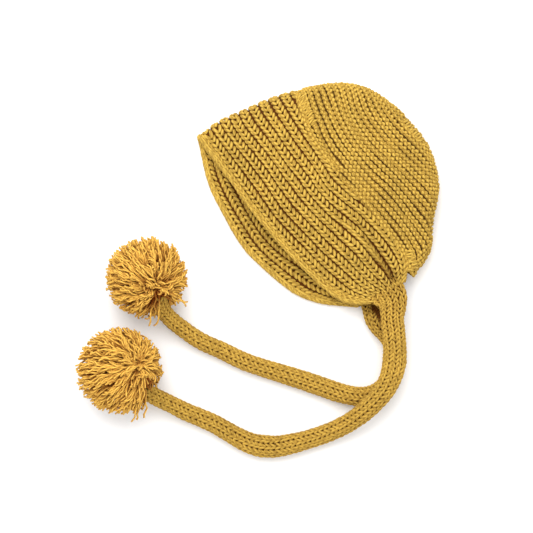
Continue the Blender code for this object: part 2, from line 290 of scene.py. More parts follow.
class Surface:
    """A middle surface of fabric: its points and outward normals at (row, place)."""

    def __init__(self, points):
        self.points = points
        normal = unit(np.cross(np.gradient(points, axis=0), np.gradient(points, axis=1)))
        rows, places = points.shape[:2]
        if normal[rows // 2, places // 4, 2] < 0:
            normal = -normal
        self.normal = normal

    def at(self, row, place):
        rows, places = self.points.shape[:2]
        i, j = np.clip(row, 0, 1) * (rows - 1), np.clip(place, 0, 1) * (places - 1)
        i0 = np.minimum(i.astype(int), rows - 2)
        j0 = np.minimum(j.astype(int), places - 2)
        fi, fj = (i - i0)[..., None], (j - j0)[..., None]

        def read(grid):
            return ((1 - fi) * ((1 - fj) * grid[i0, j0] + fj * grid[i0, j0 + 1])
                    + fi * ((1 - fj) * grid[i0 + 1, j0] + fj * grid[i0 + 1, j0 + 1]))

        return read(self.points), unit(read(self.normal))


def evened(points):
    """The same rows with their places at equal steps of length."""
    out = np.empty_like(points)
    goal = np.linspace(0, 1, points.shape[1])
    for i, row in enumerate(points):
        steps = np.linalg.norm(np.diff(row, axis=0), axis=1)
        share = np.concatenate([[0], np.cumsum(steps)])
        share /= share[-1]
        out[i] = np.stack([np.interp(goal, share, c) for c in row.T], -1)
    return out


half_v = np.linspace(1, 0, 361)
rows = np.linspace(0, 1, 73)
band = Surface(evened(np.concatenate(
    [band_half(rows, 1, half_v), band_half(rows, -1, half_v[-2::-1])], 1)))
crown_t = np.linspace(0, 1, 181)
crown = Surface(np.concatenate(
    [crown_half(crown_t, 1, half_v), crown_half(crown_t, -1, half_v[-2::-1])], 1))


# ---------------------------------------------------------------- yarn
class Yarn:
    """Swept lengths of yarn gathered into one mesh."""

    def __init__(self):
        self.points, self.faces, self.uvs, self.tones, self.count = [], [], [], [], 0

    def add(self, line, up, radius, height, sides=8, closed=False, flat=1.0):
        """line (n, m, 3), radius and height (n, m); height is over the fabric's middle and only
        sets the painted shade, darker where low.
        """
        if not closed:  # each end closes to a point
            first, last = (unit(line[:, 0] - line[:, 1]), unit(line[:, -1] - line[:, -2]))
            line = np.concatenate(
                [line[:, :1] + (first * radius[:, :1] * 0.4)[:, None], line,
                 line[:, -1:] + (last * radius[:, -1:] * 0.4)[:, None]], 1)
            up, height = (np.concatenate([row[:, :1], row, row[:, -1:]], 1)
                          for row in (up, height))
            radius = np.concatenate([radius[:, :1] * 0.05, radius, radius[:, -1:] * 0.05],
                                    1)
        n, m = line.shape[:2]
        if closed:
            along = np.roll(line, -1, 1) - np.roll(line, 1, 1)
        else:
            along = np.gradient(line, axis=1)
        along = unit(along)
        aside = unit(np.cross(along, up))
        top = np.cross(aside, along)
        angle = np.arange(sides) * 2 * math.pi / sides
        ring = (aside[:, :, None] * np.cos(angle)[:, None]
                + top[:, :, None] * (flat * np.sin(angle))[:, None])
        points = line[:, :, None] + radius[..., None, None] * ring
        # painted shade: the depth is lower on the yarn's underside, which the material darkens
        depth = height[..., None] + radius[..., None] * np.sin(angle) * flat
        steps = np.linalg.norm(np.diff(line, axis=1, append=line[:, :1]), axis=2)
        length = np.concatenate([np.zeros((n, 1)), np.cumsum(steps, 1)], 1) / MM
        length = length + rng.uniform(0, 60, (n, 1))
        spans = m if closed else m - 1
        k, j, s = np.meshgrid(np.arange(n), np.arange(spans), np.arange(sides),
                              indexing="ij")
        s1, j1 = (s + 1) % sides, (j + 1) % m
        index = lambda j_, s_: (k * m + j_) * sides + s_
        quads = np.stack([index(j, s), index(j, s1), index(j1, s1), index(j1, s)], -1)
        u = np.stack([length[k, j], length[k, j], length[k, j + 1], length[k, j + 1]], -1)
        v = np.stack([s, s + 1, s + 1, s], -1) / sides
        self.points.append(points.reshape(-1, 3))
        self.faces.append(quads.reshape(-1, 4) + self.count)
        self.uvs.append(np.stack([u, v], -1).reshape(-1, 2))
        self.tones.append(depth.reshape(-1) / MM)
        self.count += n * m * sides

    def sheet(self, points, depth):
        """A plain surface among the yarns, with one depth for its painted shade."""
        n, m = points.shape[:2]
        i, j = np.meshgrid(np.arange(n - 1), np.arange(m - 1), indexing="ij")
        quads = np.stack([i * m + j, (i + 1) * m + j, (i + 1) * m + j + 1, i * m + j + 1],
                         -1)
        self.points.append(points.reshape(-1, 3))
        self.faces.append(quads.reshape(-1, 4) + self.count)
        self.uvs.append(np.stack([quads // m, quads % m], -1).reshape(-1, 2))
        self.tones.append(np.full(n * m, depth))
        self.count += n * m

    def build(self, name, finish):
        points, faces = np.concatenate(self.points), np.concatenate(self.faces)
        mesh = bpy.data.meshes.new(name)
        mesh.vertices.add(len(points))
        mesh.vertices.foreach_set("co", points.ravel().astype(np.float32))
        mesh.loops.add(faces.size)
        mesh.loops.foreach_set("vertex_index", faces.ravel().astype(np.int32))
        mesh.polygons.add(len(faces))
        mesh.polygons.foreach_set("loop_start",
                                  np.arange(0, faces.size, 4, dtype=np.int32))
        mesh.update(calc_edges=True)
        layer = mesh.uv_layers.new(name="yarn")
        layer.data.foreach_set("uv", np.concatenate(self.uvs).ravel().astype(np.float32))
        depth = mesh.attributes.new("depth", "FLOAT", "POINT")
        depth.data.foreach_set("value", np.concatenate(self.tones).astype(np.float32))
        mesh.shade_smooth()
        mesh.materials.append(finish)
        obj = bpy.data.objects.new(name, mesh)
        bpy.context.scene.collection.objects.link(obj)
        return obj


# ---------------------------------------------------------------- materials
class NodeTree:
    """Adds nodes to a material's tree and joins them. Values are sockets or numbers."""

    def __init__(self, material):
        material.use_nodes = True
        self.nodes, self.links = material.node_tree.nodes, material.node_tree.links
        self.shader = self.nodes["Principled BSDF"]

    def add(self, kind, **settings):
        """A node with these settings; names of inputs set the inputs."""
        new = self.nodes.new(kind)
        for key, value in settings.items():
            if key in new.inputs.keys():
                self.feed(new.inputs[key], value)
            else:
                setattr(new, key, value)
        return new

    def feed(self, socket, value):
        if hasattr(value, "is_linked"):
            self.links.new(value, socket)
        else:
            socket.default_value = value

    def math(self, operation, *values):
        new = self.nodes.new("ShaderNodeMath")
        new.operation = operation
        for socket, value in zip(new.inputs, values):
            self.feed(socket, value)
        return new.outputs[0]

    def ranged(self, value, low, high, to_low=0.0, to_high=1.0, kind="LINEAR"):
        new = self.nodes.new("ShaderNodeMapRange")
        new.interpolation_type = kind
        for name, given in (("Value", value), ("From Min", low), ("From Max", high),
                            ("To Min", to_low), ("To Max", to_high)):
            self.feed(new.inputs[name], given)
        return new.outputs[0]

    def mix(self, share, first, second):
        """A colour between two, each a socket or three numbers."""
        new = self.nodes.new("ShaderNodeMix")
        new.data_type = "RGBA"
        self.feed(new.inputs[0], share)
        for socket, colour in ((new.inputs[6], first), (new.inputs[7], second)):
            self.feed(socket, (*colour, 1) if isinstance(colour, tuple) else colour)
        return new.outputs[2]

    def noise(self, where, scale, detail, roughness):
        return self.add("ShaderNodeTexNoise", Vector=where, Scale=scale, Detail=detail,
                        Roughness=roughness).outputs["Fac"]


TURN = 2 * math.pi


# edge is how much painted shade darkens the yarn's lower sides
def yarn_material(name, light, shade_and_fibre_colour, ply_pitch=7.5, plies=3, depth_range=(-1.0, 1.9),
                  fibre=0.12, ply=0.30, edge=0.30):
    """Plied yarn with painted shade: darker where it lies deep, between its plies and on its
    lower sides. Depths, pitch and bumps are in mm.
    """
    made = bpy.data.materials.new(name)
    tree = NodeTree(made)
    along_yarn = tree.add("ShaderNodeSeparateXYZ")
    tree.feed(along_yarn.inputs[0],
              tree.add("ShaderNodeUVMap", uv_map="yarn").outputs[0])
    length, place = along_yarn.outputs[0], along_yarn.outputs[1]

    # plies twist round the yarn, and fibres run along them
    twist = tree.math("MULTIPLY", length, TURN / ply_pitch)
    around = tree.math("MULTIPLY_ADD", place, TURN * plies, twist)
    ply_height = tree.ranged(tree.math("SINE", around), -1, 0.6, kind="SMOOTHSTEP")
    lean = tree.add("ShaderNodeCombineXYZ", X=tree.math("MULTIPLY", length, 0.35),
                    Y=tree.math("MULTIPLY", around, 1.6))
    fibres = tree.noise(lean.outputs[0], 1.6, 4.0, 0.65)
    solid = tree.add("ShaderNodeTexCoord").outputs["Object"]
    patches = tree.noise(solid, 38.0, 3.0, 0.6)
    specks = tree.noise(solid, 900.0, 2.0, 0.7)

    depth = tree.add("ShaderNodeAttribute", attribute_name="depth").outputs["Fac"]
    # painted shade: the shade colour where the yarn lies low, in the grooves between plies and
    # on the yarn's lower sides; the fibres' darkening is the yarn's own grain
    tone = tree.ranged(depth, *depth_range, kind="SMOOTHSTEP")
    upward = tree.math("SINE", tree.math("MULTIPLY", place, TURN))
    colour = tree.mix(tone, shade_and_fibre_colour, light)
    colour = tree.mix(tree.ranged(ply_height, 0, 1, 0.42, 0.0), colour, shade_and_fibre_colour)
    colour = tree.mix(tree.ranged(upward, -0.3, 0.8, edge, 0.0), colour, shade_and_fibre_colour)
    colour = tree.mix(tree.ranged(fibres, 0.35, 0.7, 0.32, 0.0), colour, shade_and_fibre_colour)
    value = tree.math("MULTIPLY", tree.ranged(patches, 0.3, 0.7, 0.90, 1.08),
                      tree.ranged(specks, 0.3, 0.7, 0.92, 1.06))
    vary = tree.add("ShaderNodeHueSaturation", Color=colour, Value=value)

    fine = tree.add("ShaderNodeBump", Strength=0.55, Distance=fibre * MM, Height=fibres)
    coarse = tree.add("ShaderNodeBump", Strength=0.9, Distance=ply * MM,
                      Height=ply_height, Normal=fine.outputs[0])
    for socket, value in (
            ("Base Color", vary.outputs[0]), ("Normal", coarse.outputs[0]),
            ("Roughness", tree.ranged(fibres, 0.3, 0.7, 0.95, 0.72)),
            ("Specular IOR Level", 0.10), ("Sheen Weight", 0.05),
            ("Sheen Roughness", 0.45), ("Sheen Tint", (1.0, 0.80, 0.38, 1))):
        tree.feed(tree.shader.inputs[socket], value)
    return made


knit = yarn_material("mustard_yarn", (0.70, 0.462, 0.082), (0.118, 0.033, 0.002))
tie_knit = yarn_material("tie_yarn", (0.61, 0.385, 0.066), (0.14, 0.044, 0.003),
                         ply_pitch=6, depth_range=(-0.9, 1.3))
strand = yarn_material("pompom_yarn", (0.99, 0.62, 0.115), (0.26, 0.050, 0.001),
                       ply_pitch=6.5, depth_range=(-12, 0.5), fibre=0.10, ply=0.24,
                       edge=0.52)


# ---------------------------------------------------------------- band
RIB = 9.35 * MM  # pitch of the ribs where they lie relaxed
ROLL = 5.3 * MM  # width of the rolled front edge
ROLL_CORE = 3.0 * MM  # radius that its stitches wind round
ROLL_COLUMNS = (-32, 66, 164)  # degrees round the roll
COURSES = 92  # stitches along a rib from root to root
BAND_RIBS, INNER_RIBS = 10, 11  # on the outer face, and between them on the inner one
HELD_RIBS = ([0, 0.55, 1], [9.3, 7.75, 7.75])  # ribs in the width, from middle to roots
OVERLAP = 1.06  # length of a stitch over the length of its course
band_width = np.linalg.norm(np.diff(band.points, axis=0), axis=2).sum(0)


def rib_count(place):
    """How many ribs lie between the rolled edge and the seam."""
    far = np.abs(place - 0.5) * 2
    loose = (width_at(place) - ROLL) / RIB
    held = np.interp(far, *HELD_RIBS)
    return np.where(far < 0.5, loose, loose + (held - loose) * smooth((far - 0.5) / 0.3))


def width_at(place):
    """Width of the band's cloth at a share of the way from root to root."""
    return np.interp(place, np.linspace(0, 1, len(band_width)), band_width)


def row_of(rib, place):
    """Band row of a rib number counted from the rolled edge."""
    width = width_at(place)
    first = ROLL / width
    return first + rib * (1 - first) / rib_count(place)


def knit_legs(q):
    """Spread, rise and tuck of a stitch's leg, from its open end (0) to its point (1)."""
    spread = 0.10 + 0.615 * (1 - q**1.7)
    rise = np.sin(math.pi * np.clip(q, 0, 1)) ** 0.5
    tuck = np.clip((0.14 - q) / 0.14, 0, 1) ** 2 + np.clip((q - 0.84) / 0.16, 0, 1) ** 2
    return spread, rise, tuck


LEG = np.array([0, 0.06, 0.16, 0.32, 0.50, 0.68, 0.83, 0.94, 1.0])
LEG_MIDDLE = 5  # the sample that says whether a whole leg is kept


def tapered(q, end):
    """1 along a leg, and the given share at its two ends."""
    return np.where((q == 0) | (q == 1), end, 1)


def band_stitches(yarn, ribs, face, courses):
    """V columns at these rib numbers on the outer (1) or inner (-1) face."""
    spread, rise, tuck = knit_legs(LEG)
    q = LEG[None]
    rib, course, leg = [g.ravel()[:, None] for g in
                        np.meshgrid(ribs, courses, [-1, 1], indexing="ij")]
    place0 = (course + 0.5) / COURSES
    jitter = rng.normal(0, 1, (len(rib), 4, 1))
    place = place0 - (q - 0.5 + 0.04 * jitter[:, 0]) * OVERLAP / COURSES
    across = leg * 0.5 * spread * (0.93 + 0.03 * jitter[:, 1])
    wobble = 0.05 * np.sin(19 * place0 + 0.6 * rib) + 0.035 * np.sin(47 * place0 - rib)
    row = row_of(rib + wobble + across, place)
    pitch = (row_of(rib + 0.5, place) - row_of(rib - 0.5, place)) * width_at(place)
    scale = np.clip(pitch / RIB, 0.35, 1.1) ** 0.6
    middle = row[:, LEG_MIDDLE]
    keep = (middle < 1.004) & (middle > 0)
    point, normal = band.at(row, place)
    height = MM * scale * (1.25 - 3.2 * spread**3 + 0.35 * rise - 0.7 * tuck
                           + 0.12 * jitter[:, 2])
    radius = MM * scale * (1.20 + 0.36 * rise) * (1 + 0.05 * jitter[:, 3])
    # painted shade in the creases and along the seam, on the outer face only
    shade = painted_crease_shade(point) if face > 0 else 0
    radius = radius * tapered(q, 0.35)
    line = point + face * normal * height[..., None]
    yarn.add(line[keep], (face * normal)[keep], radius[keep], (height + shade)[keep])


def rolled_edge(yarn, courses):
    """The front edge curls outward in three columns of stitches."""
    core = ROLL_CORE
    spread, rise, tuck = knit_legs(LEG)
    q = LEG[None]
    for column, middle in enumerate(ROLL_COLUMNS):
        course, leg = [g.ravel()[:, None] for g in
                       np.meshgrid(courses, [-1, 1], indexing="ij")]
        place0 = (course + 0.5 + 0.33 * column) / COURSES
        jitter = rng.normal(0, 1, (len(course), 3, 1))
        place = place0 - (q - 0.5 + 0.05 * jitter[:, 0]) * 1.6 / COURSES
        point, normal = band.at(core / width_at(place), place)
        front, _ = band.at(0 * place, place)
        inner, _ = band.at(2 * core / width_at(place), place)
        out = unit(front - inner)
        angle = np.radians(middle + leg * 60 * spread)
        reach = core * (0.66 + 0.14 * rise - 0.35 * tuck) + 0.1 * MM * jitter[:, 1]
        line = (point + normal * 0.35 * MM
                + reach[..., None] * (normal * np.cos(angle)[..., None]
                                      + out * np.sin(angle)[..., None]))
        up = unit(line - point - normal * 0.35 * MM)
        end = np.interp(np.abs(place - 0.5), [0.42, 0.5], [1, 0.7])
        radius = MM * end * (0.95 + 0.35 * rise) * tapered(q, 0.3)
        # the depth sets only painted shade, darker at the tucked ends
        yarn.add(line, up, radius, 1.2 * MM - 1.6 * tuck * MM + 0 * radius, sides=9)


band_yarns = {}
for side, courses in (("left", np.arange(COURSES // 2)),
                      ("right", np.arange(COURSES // 2, COURSES))):
    outer, inner = Yarn(), Yarn()
    band_stitches(outer, np.arange(BAND_RIBS) + 0.5, 1, courses)
    rolled_edge(outer, courses)
    band_stitches(inner, np.arange(INNER_RIBS) + 0.0, -1, courses)
    band_yarns["band_stitches_" + side] = outer
    band_yarns["band_inner_stitches_" + side] = inner

# a sheet under the stitches, dark with painted shade from its low depth, shows in the grooves
band_base = Yarn()
band_base.sheet(band.points[::3, ::3], -1.3)

# ---------------------------------------------------------------- crown
RIDGE = 5.25 * MM  # pitch of the ridges
BUMP = 4.65 * MM  # length of a bump along its ridge
BUMP_SAMPLES = 12  # points along the yarn of one bump
RIDGES_BY_SEAM = 9  # how many go into the piece beside the seam
LADDER_PITCH = 2.35 * MM  # between upright stitches

# Places where the ridges stretch open and show upright stitches: from, to, length, lean
LADDERS = [((0, 86), (23, 85.5), 7.5, 0.0), ((-79, 33.5), (-49, 24.5), 6.5, -0.45),
           ((86, 14.5), (102, 9), 6.5, 0.1)]


def ladder_mask(point):
    """1 on the open places of the upper layer."""
    mask = 0
    for start, end, tall, _ in LADDERS:
        start, end = np.array(start) * MM, np.array(end) * MM
        along = end - start
        share = np.clip((point[..., :2] - start) @ along / (along @ along), 0, 1)
        off = np.linalg.norm(point[..., :2] - start - share[..., None] * along, axis=-1)
        mask = np.maximum(mask, smooth((0.62 * tall * MM - off) / (1.5 * MM)))
    return mask * upper_layer(point)


def on_crown(xy):
    """Nearest point and normal of the crown's upper layer."""
    half = crown.points[:, :len(half_v)].reshape(-1, 3)
    normal = crown.normal[:, :len(half_v)].reshape(-1, 3)
    nearest = [((half[:, :2] - p) ** 2).sum(1).argmin() for p in xy.reshape(-1, 2)]
    point = np.concatenate([xy, half[nearest, 2].reshape(xy.shape[:-1])[..., None]], -1)
    return point, normal[nearest].reshape(point.shape)


def ladder_stitches(yarn):
    """The upright stitches that show where the ridges stretch open."""
    q = np.linspace(-1, 1, 9)
    for start, end, tall, lean in LADDERS:
        start, end = np.array(start) * MM, np.array(end) * MM
        along = unit(end - start)
        upright = np.array([-along[1], along[0]])
        count = int(np.linalg.norm(end - start) / LADDER_PITCH)
        share = (np.arange(count) + 0.5) / count
        foot = start + share[:, None] * (end - start)
        foot = foot + upright * rng.normal(0, 0.35 * MM, (count, 1))
        tilt = lean + 0.16 * (-1.0) ** np.arange(count) + rng.normal(0, 0.05, count)
        way = upright + along * tilt[:, None]
        xy = foot[:, None] + way[:, None] * (q * tall / 2 * MM)[:, None]
        point, normal = on_crown(xy)
        dome = 1 - q**4
        height = MM * (0.2 + 1.25 * dome) + np.zeros((count, 1))
        line = point + normal * height[..., None]
        radius = MM * (0.95 + 0.22 * dome) + np.zeros((count, 1))
        yarn.add(line, normal, radius, height)


def ridge_number(xy):
    """How many ridges a plan point lies away from the seam."""
    x = xy[..., 0]
    seam_line = seams[1].line
    seam_y = np.interp(x, seam_line[:, 0], seam_line[:, 1])
    slope = np.interp(x, seam_line[:, 0], np.gradient(seam_line[:, 1], seam_line[:, 0]))
    lean = 1 / np.sqrt(1 + np.clip(slope, -0.6, 0.6) ** 2)
    away = (xy[..., 1] - seam_y) * lean
    middle = np.exp(-((x - 12 * MM) / (48 * MM)) ** 2)
    pitch = RIDGE * (1.10 - 0.12 * middle)
    return (away + 1.2 * MM * waves(xy, 40 * MM, 11)) / pitch


def ridge_loops():
    """Each ridge as a closed run of (t, v) round the fold, counted by cloth length."""
    half = crown.points[:, :len(half_v)]
    flat = ridge_number(half[..., :2])
    steps = np.diff(half, axis=1)
    rate = np.diff(flat, axis=1) / np.maximum(np.linalg.norm(steps[..., :2], axis=2),
                                              1e-6)
    grown = np.maximum(rate, 0) * np.linalg.norm(steps, axis=2)
    number = flat[:, :1] + np.concatenate([0 * flat[:, :1], np.cumsum(grown, 1)], 1)
    fine = np.linspace(0, 1, 1201)
    crest = np.interp(fine, crown_t, number[:, -1])
    k = 0
    while True:
        level = k + 0.42
        there = np.nonzero(crest > level)[0]
        if len(there) < 40:
            return
        first, last = fine[there[0]], fine[there[-1]]
        turn = np.linspace(0, math.pi, 500)
        t = first + (last - first) * (1 - np.cos(turn)) / 2
        v = np.empty_like(t)
        for i, here in enumerate(t * (len(crown_t) - 1)):
            j = min(int(here), len(crown_t) - 2)
            line = (1 - here + j) * number[j] + (here - j) * number[j + 1]
            v[i] = np.interp(level, line, half_v)
        yield (k, np.concatenate([t, t[-2:0:-1]]), np.concatenate([v, -v[-2:0:-1]]))
        k += 1


def ridge_yarns(by_seam, by_fold):
    """Each ridge is a bumpy yarn over a plainer one that fills the gaps under it."""
    for k, t, v in ridge_loops():
        yarn = by_seam if k < RIDGES_BY_SEAM else by_fold
        place = (1 - v) / 2
        point, normal = crown.at(t, place)
        steps = np.linalg.norm(np.diff(point, axis=0, append=point[:1]), axis=1)
        length = np.concatenate([[0], np.cumsum(steps)])
        count = max(int(round(length[-1] / BUMP)), 4)
        m = count * BUMP_SAMPLES
        s = np.arange(m) / m * length[-1]
        wrap = lambda row: np.interp(s, length, np.concatenate([row, row[:1]]))
        point, normal = crown.at(wrap(t), wrap(place))
        along = unit(np.roll(point, -1, 0) - np.roll(point, 1, 0))
        aside = unit(np.cross(normal, along))
        middle = np.abs(point[:m // 2, 0] - 12 * MM).argmin()
        phase = 2 * math.pi * (s - s[middle]) / length[-1] * count
        wave = np.sin(phase)
        bump = np.abs(wave) ** 1.3
        chance = rng.normal(0, 1, (3, count * 2 + 1))
        vary = [np.interp(s, np.linspace(0, length[-1], count * 2 + 1), row)
                for row in chance]
        plain = ladder_mask(point)
        shift = RIDGE * (0.222 + 0.015 * vary[0]) * wave + 0.22 * MM * vary[1]
        height = MM * (0.60 + 0.95 * bump + 0.2 * vary[2] - 1.2 * plain)
        radius = MM * (1.22 + 0.38 * bump + 0.06 * vary[0])
        radius = radius * (1 + 0.10 * near_line(point[..., :2], (-60, 55), (40, 8), 14))
        line = point + aside * shift[:, None] + normal * height[:, None]
        yarn.add(line[None], normal[None], radius[None], height[None], closed=True)
        under = MM * (-0.12 + 0.2 * bump)
        line = point - aside * (1.3 * MM * wave)[:, None] + normal * under[:, None]
        yarn.add(line[None, ::2], normal[None, ::2], np.full((1, m // 2), 1.35 * MM),
                 under[None, ::2], sides=6, closed=True)


crown_yarns = {"crown_ridges_by_seam": Yarn(), "crown_ridges_by_fold": Yarn()}
ridge_yarns(*crown_yarns.values())
ladder_stitches(crown_yarns["crown_ridges_by_fold"])
# a sheet under the ridges, darkened by painted shade from its low depth
crown_base = Yarn()
crown_base.sheet(crown.points[::2, ::3], -0.2)


def seam_yarns(yarn):
    """Two yarns whipped along the seam, which close the space between the panels."""
    place = np.linspace(0.0, 1.0, 1400)
    point, normal = band.at(np.ones_like(place), place)
    before, _ = band.at(np.full_like(place, 0.97), place)
    out = unit(point - before)
    steps = np.linalg.norm(np.diff(point, axis=0), axis=1)
    s = np.concatenate([[0], np.cumsum(steps)])
    for turn, lift in ((0, -0.3), (math.pi, 0.1)):
        phase = 2 * math.pi * s / BUMP + turn
        line = (point + out * ((0.9 + 0.9 * np.sin(phase)) * MM)[:, None]
                + normal * ((lift + 0.5 * np.cos(phase)) * MM)[:, None])
        height = np.full((1, len(s)), lift * MM)
        yarn.add(line[None], normal[None], np.full((1, len(s)), 1.25 * MM), height)


seam_yarns(crown_yarns["crown_ridges_by_fold"])


# ---------------------------------------------------------------- ties
TIE_COLUMN = 5.6 * MM  # width of a V column
TIE_COLUMNS = np.arange(-7, 8)  # more than fit; those past the tube's underside go
TIE_COURSES = (3.6 * MM, 4.6 * MM)  # length of a course at the root and further on
TIE_OVERLAP = 1.22  # length of a stitch over the length of its course
TIE_SKIN = 2.2 * MM  # how deep the plain tube lies under the stitches' surface
SLIT = ((100, -39.5), (124, -43), 2.6)  # gap between the ties, sunk and darkened by painted shade: from, to, half width


class Tie:
    """A flattened knitted tube along a route, fanned out at its root."""

    def __init__(self, route, widths, heights):
        self.route = plan(route)
        self.widths, self.heights = np.array(widths), np.array(heights)

    def at(self, share, angle):
        """Point and outward normal on the tube's skin."""
        middle = self.route.at(share)
        ahead = self.route.at(np.minimum(share + 0.004, 1))
        behind = self.route.at(np.maximum(share - 0.004, 0))
        along = unit(ahead - behind)
        aside = unit(np.cross(along, np.array([0, 0, 1.0])))
        top = np.cross(aside, along)
        travel = share * self.route.length / MM
        wide = np.interp(travel, self.widths[:, 0], self.widths[:, 1]) * MM / 2
        high = np.interp(travel, self.heights[:, 0], self.heights[:, 1]) * MM / 2
        c, s = np.cos(angle), np.sin(angle)
        point = (middle + aside * (wide * c)[..., None] + top * (high * s)[..., None])
        normal = unit(aside * (high * c)[..., None] + top * (wide * s)[..., None])
        return point, normal, wide, high


def even_angle(share, flatness):
    """Angle on an ellipse whose run from the top is this share of its way round."""
    angle = np.linspace(-math.pi, math.pi, 721)
    tables = []
    for flat in (1, 1.5, 2.5, 4, 8):
        speed = np.hypot(flat * np.cos(angle), np.sin(angle))
        run = np.concatenate([[0], np.cumsum((speed[1:] + speed[:-1]) / 2)])
        tables.append(np.interp(np.linspace(-0.5, 0.5, 201), run / run[-1] - 0.5, angle))
    tables = np.array(tables)
    row = np.interp(flatness, (1, 1.5, 2.5, 4, 8), np.arange(5))
    low = np.clip(row.astype(int), 0, 3)
    mix = row - low
    place = np.clip((share + 0.5) * 200, 0, 199.999)
    left, part = place.astype(int), place % 1

    def read(which):
        return tables[which, left] * (1 - part) + tables[which, left + 1] * part

    return read(low) * (1 - mix) + read(low + 1) * mix


def tie_stitches(root_yarn, yarn, end_yarn, tie, twist, root_length, end_length,
                 has_slit):
    """V columns round the tube. The fanned root and the end past the pivot are apart.

    The lengths are in mm. It returns the shares of the route where the middle piece
    starts and ends.
    """
    spread, rise, tuck = knit_legs(LEG)
    q = LEG[None]
    travel = np.linspace(0, tie.route.length, 400)
    course_at = TIE_COURSES[0] + (TIE_COURSES[1] - TIE_COURSES[0]) * smooth(
        (travel - 40 * MM) / (80 * MM))
    number = np.concatenate([[0], np.cumsum(np.diff(travel) / course_at[1:])])
    courses = int(number[-1])
    cut = int(np.interp(root_length * MM, travel, number))
    end_cut = int(np.interp(tie.route.length - end_length * MM, travel, number))
    column, course, leg = [g.ravel()[:, None] for g in
                           np.meshgrid(TIE_COLUMNS, np.arange(courses), [-1, 1],
                                       indexing="ij")]
    jitter = rng.normal(0, 1, (len(column), 4, 1))
    number_at = course + 0.5 + (q - 0.5 + 0.04 * jitter[:, 0]) * TIE_OVERLAP
    share = np.interp(number_at, number, travel) / tie.route.length
    across = (column + leg * 0.5 * spread * (1.16 + 0.03 * jitter[:, 1])) * TIE_COLUMN
    _, _, wide, high = tie.at(share, 0 * share)
    round_ = 2 * math.pi * np.sqrt((wide**2 + high**2) / 2) - 4 * MM
    keep = np.abs(column[:, 0]) * TIE_COLUMN < round_[:, LEG_MIDDLE] / 2 - 0.3 * TIE_COLUMN
    # equal steps round an ellipse, from the top of the tube
    angle = math.pi / 2 - even_angle(across / round_, wide / high) + twist * share
    point, normal, wide, high = tie.at(np.clip(share, 0, 1), angle)
    height = MM * (-1.45 + 0.45 * rise - 0.3 * spread**2 - 0.9 * tuck
                   + 0.08 * jitter[:, 2])
    radius = MM * (1.02 + 0.33 * rise) * (1 + 0.04 * jitter[:, 3])
    radius = radius * tapered(q, 0.35)
    radius = radius * (0.82 + 0.18 * smooth(share * tie.route.length / (70 * MM)))
    line = point + normal * height[..., None]
    line, normal, radius, height, course = (
        array[keep] for array in (line, normal, radius, height, course))
    # a depth for the painted shade only, raised 1.3 mm; the yarn stays in place
    height = height + 1.3 * MM + 0 * radius
    if has_slit:  # sunk 3 mm, and painted shade darkens it further
        slit = near_line(line[..., :2], *SLIT)
        line = line - np.array([0, 0, 3 * MM]) * slit[..., None]
        height = height - 3.2 * MM * slit
    line[..., 2] = np.maximum(line[..., 2], radius)
    near, far = course[:, 0] < cut, course[:, 0] >= end_cut
    for piece, part in ((root_yarn, near), (yarn, ~near & ~far), (end_yarn, far)):
        piece.add(line[part], normal[part], radius[part], height[part])
    seam, end_seam = (np.interp(at, number, travel) / tie.route.length
                      for at in (cut, end_cut))
    # under each piece, a plain tube dark with painted shade from its low depth
    for piece, first, last in ((root_yarn, 0, seam), (yarn, seam, end_seam),
                               (end_yarn, end_seam, 1)):
        s, a = np.meshgrid(np.linspace(first, last, int(20 + 140 * (last - first))),
                           np.linspace(0, 2 * math.pi, 25), indexing="ij")
        skin, normal, _, _ = tie.at(s, a)
        piece.sheet(skin - normal * TIE_SKIN, -1.2)
    return seam, end_seam


def tie_start(place, offset, second):
    """The middle of the band's gathered end, moved a little, and the next point, in mm."""
    return [tuple(band.points[:, place].mean(0) / MM + np.array(offset)), second]


# Widths and heights are (mm along the tie, mm). Beyond its CAD route each tie's end
# rises inside the pompom.
TIES = {
    "left": dict(
        route=(tie_start(0, (-3.5, 1.5, 0), (112, -25.6, 22.8)) + LEFT_TIE
               + [(33.5, -236.3, 22), (23, -238, 27)]),
        widths=[(0, 35), (9, 30), (17, 24), (26, 20.5), (46, 20), (66, 21), (85, 19),
                (105, 17.2), (140, 16.2), (175, 16.4), (200, 18.5), (215, 19.8),
                (226, 18.4), (240, 17), (262, 16), (310, 15)],
        heights=[(0, 6.5), (10, 9), (22, 12), (60, 13.5), (120, 13.5), (310, 13.5)],
        twist=0.5, root_length=23, end_length=21, has_slit=False,
        bend=((0.110, -0.022, 0.02), (0.125, -0.036, 0.02))),
    "right": dict(
        route=(tie_start(-1, (-2.0, 2.0, 0), (107, -43.2, 5.2)) + RIGHT_TIE
               + [(-17, -179, 24), (-27, -174, 34)]),
        widths=[(0, 26), (10, 18.5), (20, 16.5), (60, 16.5), (160, 17), (205, 15.4),
                (230, 15.4), (255, 14.8), (310, 14.2)],
        heights=[(0, 6.5), (10, 9), (20, 12.5), (60, 13), (310, 13)],
        twist=-0.6, root_length=14, end_length=27, has_slit=True,
        bend=((0.104, -0.038, 0.006), (0.122, -0.062, 0.006))),
}
for made in TIES.values():
    made["tie"] = Tie(made["route"], made["widths"], made["heights"])
    made["yarns"] = {"root": Yarn(), "stitches": Yarn(), "end": Yarn()}
    made["span"] = tie_stitches(*made["yarns"].values(), made["tie"], made["twist"],
                                made["root_length"], made["end_length"],
                                made["has_slit"])


# ---------------------------------------------------------------- pompoms
POMPOM_FLAT = np.array([1, 1, 0.80])  # the ball's height is less than its width
CLUMPS, CLUMP_PULL = 260, 0.30  # tufts in the ball, and how far strands lean to them
STRAND_SAMPLES = 11  # points along a strand
STRAY_REACH = 1.2  # of the radius, for the few longest strands


